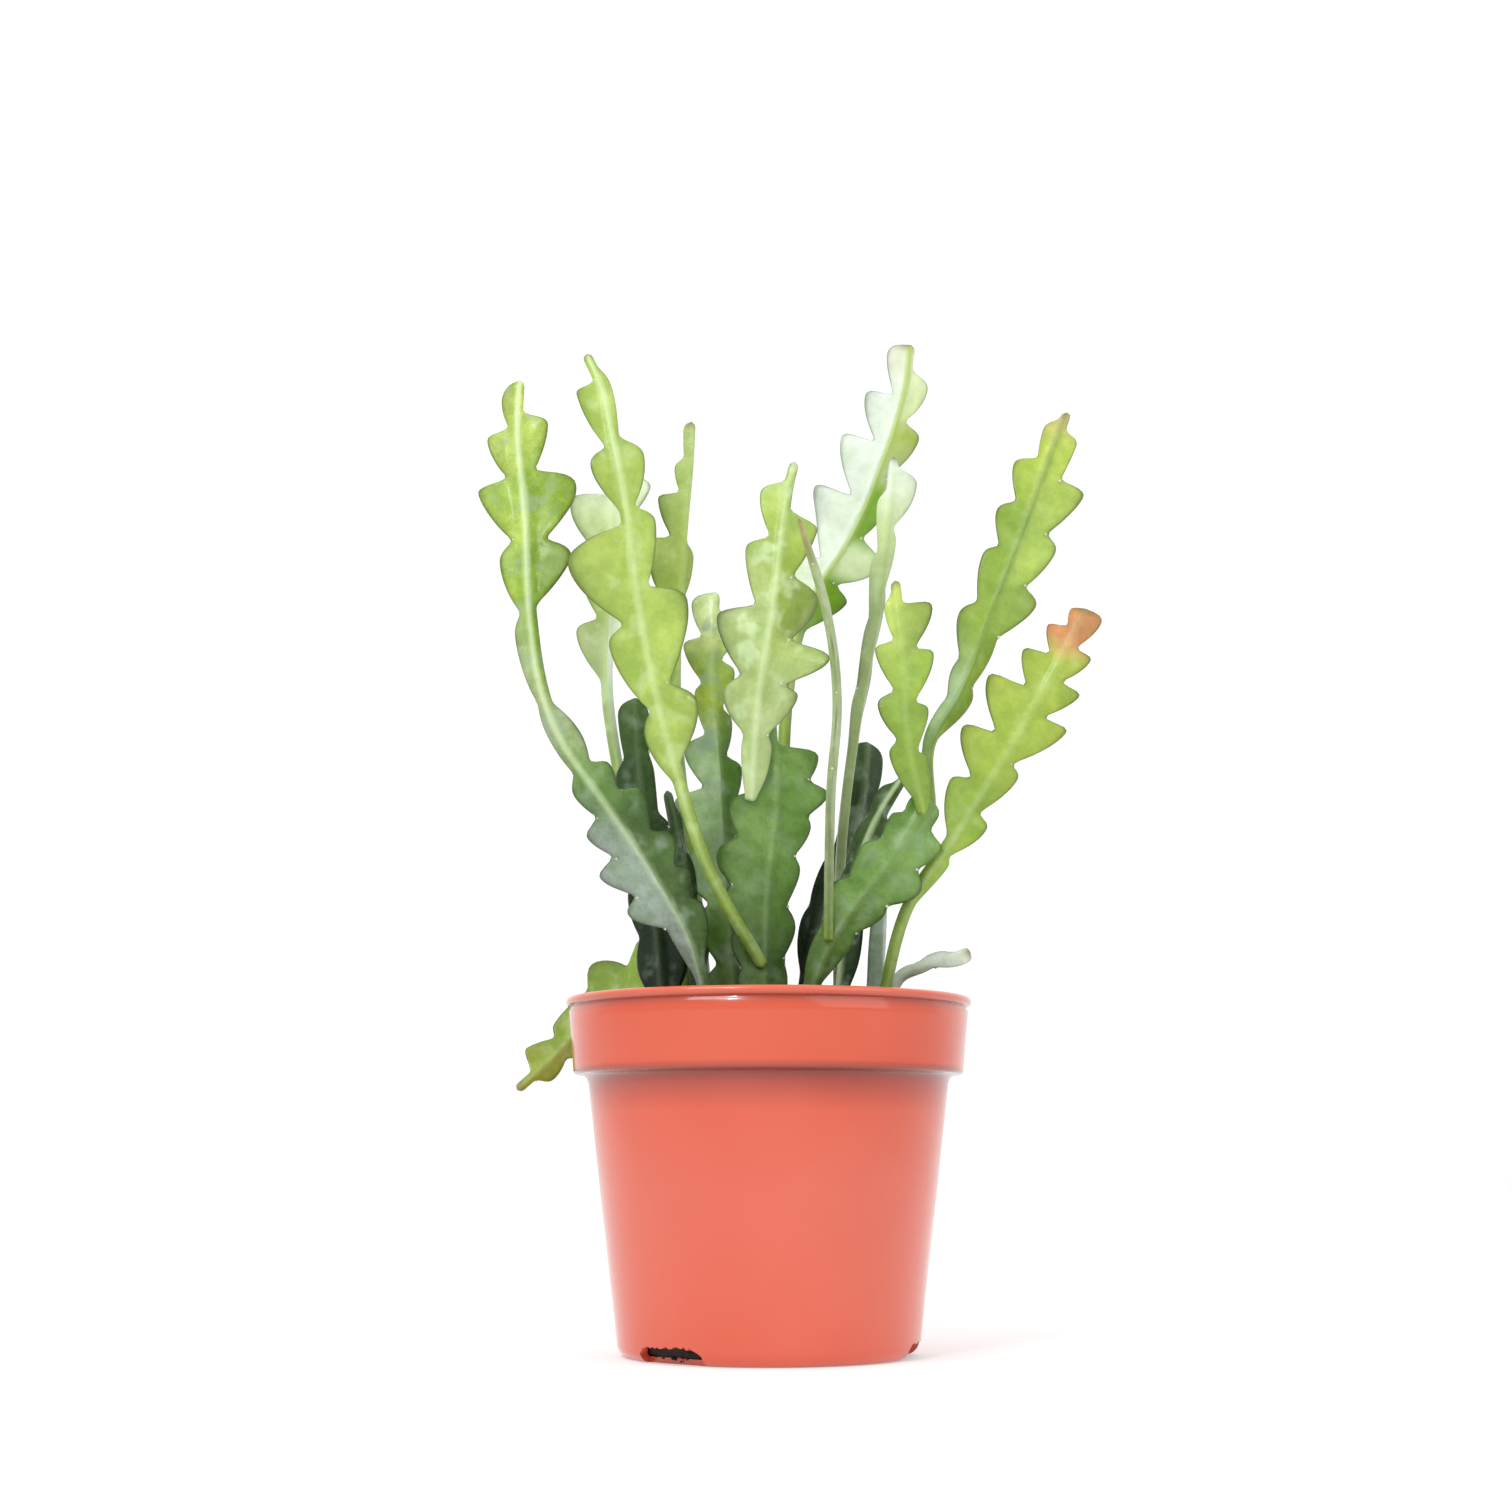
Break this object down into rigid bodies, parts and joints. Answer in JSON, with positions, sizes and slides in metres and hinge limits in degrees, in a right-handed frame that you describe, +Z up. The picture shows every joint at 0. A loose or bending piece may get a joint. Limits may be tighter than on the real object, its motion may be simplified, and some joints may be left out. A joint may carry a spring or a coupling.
{
  "type": "potted fishbone cactus",
  "caption": "Fishbone cactus with flat zigzag stems, old dark ones and young light ones, rooted in soil in a round tapered plastic nursery pot.",
  "frame": {"origin": "middle of the pot's flat underside", "axes": "+Z up along the pot's axis and the stems, -Y towards the front view"},
  "size_m": [0.1819, 0.12, 0.3087],
  "materials": {
    "pot_plastic": "glossy terracotta-orange moulded plastic",
    "potting_soil": "loose dark peat and bark mix with pale grains",
    "old_stem": "waxy dark grey-green succulent skin",
    "young_stem": "satin yellow-green succulent skin",
    "pale_stem": "satin pale green succulent skin"
  },
  "bodies": {
    "root": {"pot": "pot_plastic", "soil": "potting_soil", "left_stem": "old_stem", "centre_old": "old_stem", "centre_broad": "old_stem", "right_front_old": "old_stem", "back_right_old": "old_stem", "back_right_ribbed": "old_stem", "left_back_old": "old_stem", "small_old": "old_stem", "cut_stub": "old_stem", "front_shoot": "young_stem", "slim_shoot": "young_stem", "centre_shoot": "young_stem", "thin_stalk": "young_stem", "right_tall_shoot": "young_stem", "right_inner_shoot": "young_stem", "right_low_shoot": "young_stem", "trailing_shoot": "young_stem", "back_left_shoot": "pale_stem", "edge_shoot": "pale_stem", "tall_shoot": "pale_stem", "pale_sprout": "pale_stem"}
  },
  "joints": []
}
